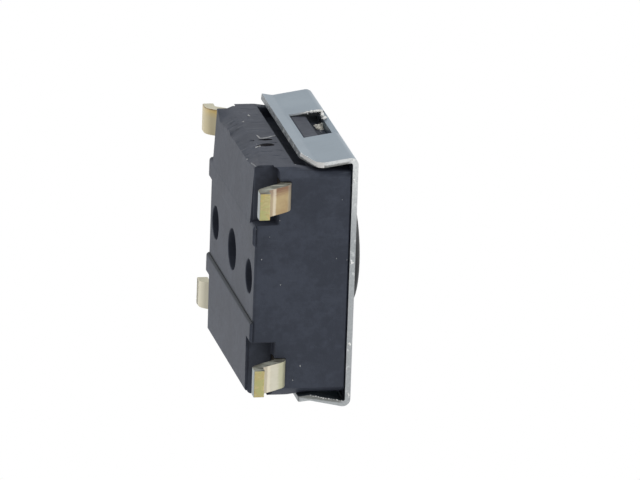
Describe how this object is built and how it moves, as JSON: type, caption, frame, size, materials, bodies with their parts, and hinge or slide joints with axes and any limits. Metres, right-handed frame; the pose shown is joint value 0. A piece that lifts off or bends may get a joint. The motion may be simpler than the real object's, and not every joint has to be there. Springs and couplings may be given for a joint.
{
  "type": "tactile switch",
  "caption": "Square surface-mount push switch: black moulded base, folded steel cover with snap flaps, gull-wing leads and a low round sealed button.",
  "frame": {"origin": "bottom centre, on the board under the lead feet", "axes": "+Z the way the button stands, X along the leads, Y across them towards the cover's flaps"},
  "size_m": [0.0082, 0.0068, 0.0032],
  "materials": {
    "base_plastic": "black moulded glass-filled plastic, finely textured",
    "contact_metal": "plated strip with bare sheared edges",
    "dome_steel": "thin bright sheet",
    "seal_rubber": "dark grey rubber",
    "button_plastic": "matt black moulding",
    "cover_steel": "satin stainless sheet"
  },
  "bodies": {
    "housing": {"base": "base_plastic", "centre_contact": "contact_metal", "rim_contact": "contact_metal", "snap_dome": "dome_steel", "seal_membrane": "seal_rubber", "cover": "cover_steel"},
    "button": {"button": "button_plastic"}
  },
  "joints": [
    {"name": "button_press", "type": "slide", "parent": "housing", "child": "button", "axis": [0, 0, -1], "range_m": [0, 0.00025], "stiffness_N_per_m": 8000, "deforming": ["snap_dome", "seal_membrane"]}
  ]
}
